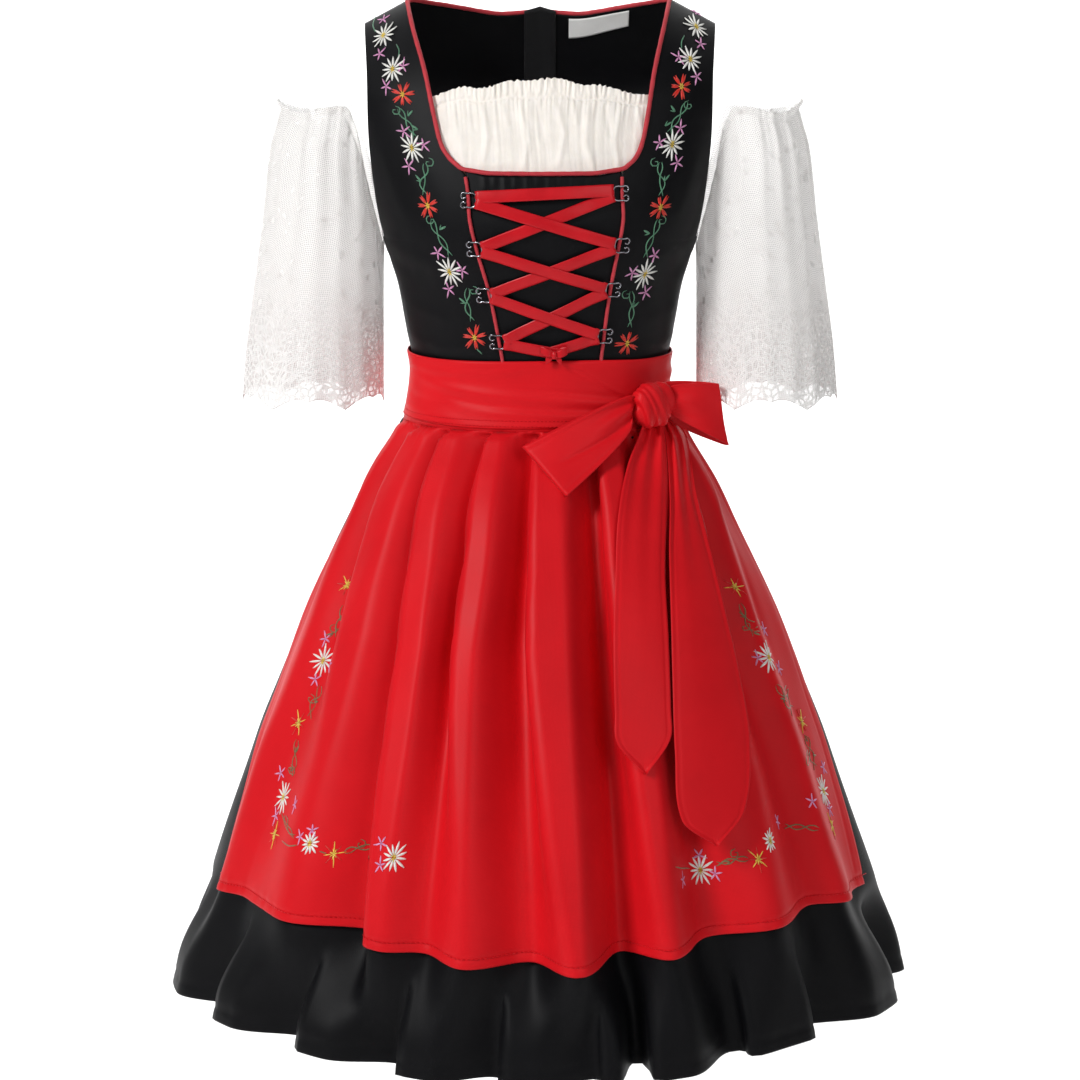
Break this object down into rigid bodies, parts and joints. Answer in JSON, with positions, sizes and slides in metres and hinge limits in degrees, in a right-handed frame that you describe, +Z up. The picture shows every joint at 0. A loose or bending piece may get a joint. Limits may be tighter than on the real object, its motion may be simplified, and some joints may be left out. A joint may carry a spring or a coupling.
{
  "type": "dirndl",
  "caption": "Knee-length dirndl dress with a laced bodice, sheer lace sleeves off the shoulder, a flared skirt and a pleated apron tied with a sash bow.",
  "frame": {"origin": "between the wearer's shoulders, level with the top of the straps", "axes": "+Z up, -Y towards the front of the dress, +X to the viewer's right as the front is seen"},
  "size_m": [0.7323, 0.6376, 0.9767],
  "materials": {
    "black_cloth": "closely woven black polyester with a soft sheen",
    "red_cloth": "smooth red polyester with a satin sheen",
    "red_ribbon": "red satin ribbon",
    "red_piping": "corded bias binding in red",
    "ivory_cloth": "soft ivory crepe, gathered on elastic",
    "lace": "sheer off-white embroidered net",
    "wire": "bent grey wire",
    "zip_tape": "black nylon coil zip",
    "zip_metal": "black lacquered zinc",
    "label": "plain white woven tape",
    "embroidery": "satin stitch in white, green, pink, red and yellow thread"
  },
  "bodies": {
    "dress": {"apron_panel": "red_cloth", "apron_waistband": "red_cloth", "bodice_back_left": "black_cloth", "bodice_back_right": "black_cloth", "bodice_front_centre": "black_cloth", "bodice_front_left": "black_cloth", "bodice_front_right": "black_cloth", "bow_knot": "red_cloth", "bow_loop_left": "red_cloth", "bow_loop_right": "red_cloth", "bow_tail_long": "red_cloth", "bow_tail_short": "red_cloth", "chest_insert": "ivory_cloth", "hook_left_1": "wire", "hook_left_2": "wire", "hook_left_3": "wire", "hook_left_4": "wire", "hook_right_1": "wire", "hook_right_2": "wire", "hook_right_3": "wire", "hook_right_4": "wire", "lace_bow": "red_ribbon", "lace_cross_1_over": "red_ribbon", "lace_cross_1_under": "red_ribbon", "lace_cross_2_over": "red_ribbon", "lace_cross_2_under": "red_ribbon", "lace_cross_3_over": "red_ribbon", "lace_cross_3_under": "red_ribbon", "lace_end_left": "red_ribbon", "lace_end_right": "red_ribbon", "lace_top": "red_ribbon", "neck_label": "label", "neck_piping_back_left": "red_piping", "neck_piping_back_right": "red_piping", "neck_piping_front": "red_piping", "princess_piping_left": "red_piping", "princess_piping_right": "red_piping", "sash_wrap": "red_cloth", "skirt_back_left": "black_cloth", "skirt_back_right": "black_cloth", "skirt_front": "black_cloth", "sleeve_left": "lace", "sleeve_right": "lace", "zip_coil": "zip_tape", "zip_slider": "zip_metal", "zip_tape": "zip_tape"},
    "pull_tab": {"zip_pull_tab": "zip_metal"}
  },
  "joints": [
    {"name": "pull_tab_hinge", "type": "hinge", "parent": "dress", "child": "pull_tab", "pos_m": [0, 0.09561, -0.04211], "axis": [1, 0, 0], "range_deg": [0, 150]}
  ]
}
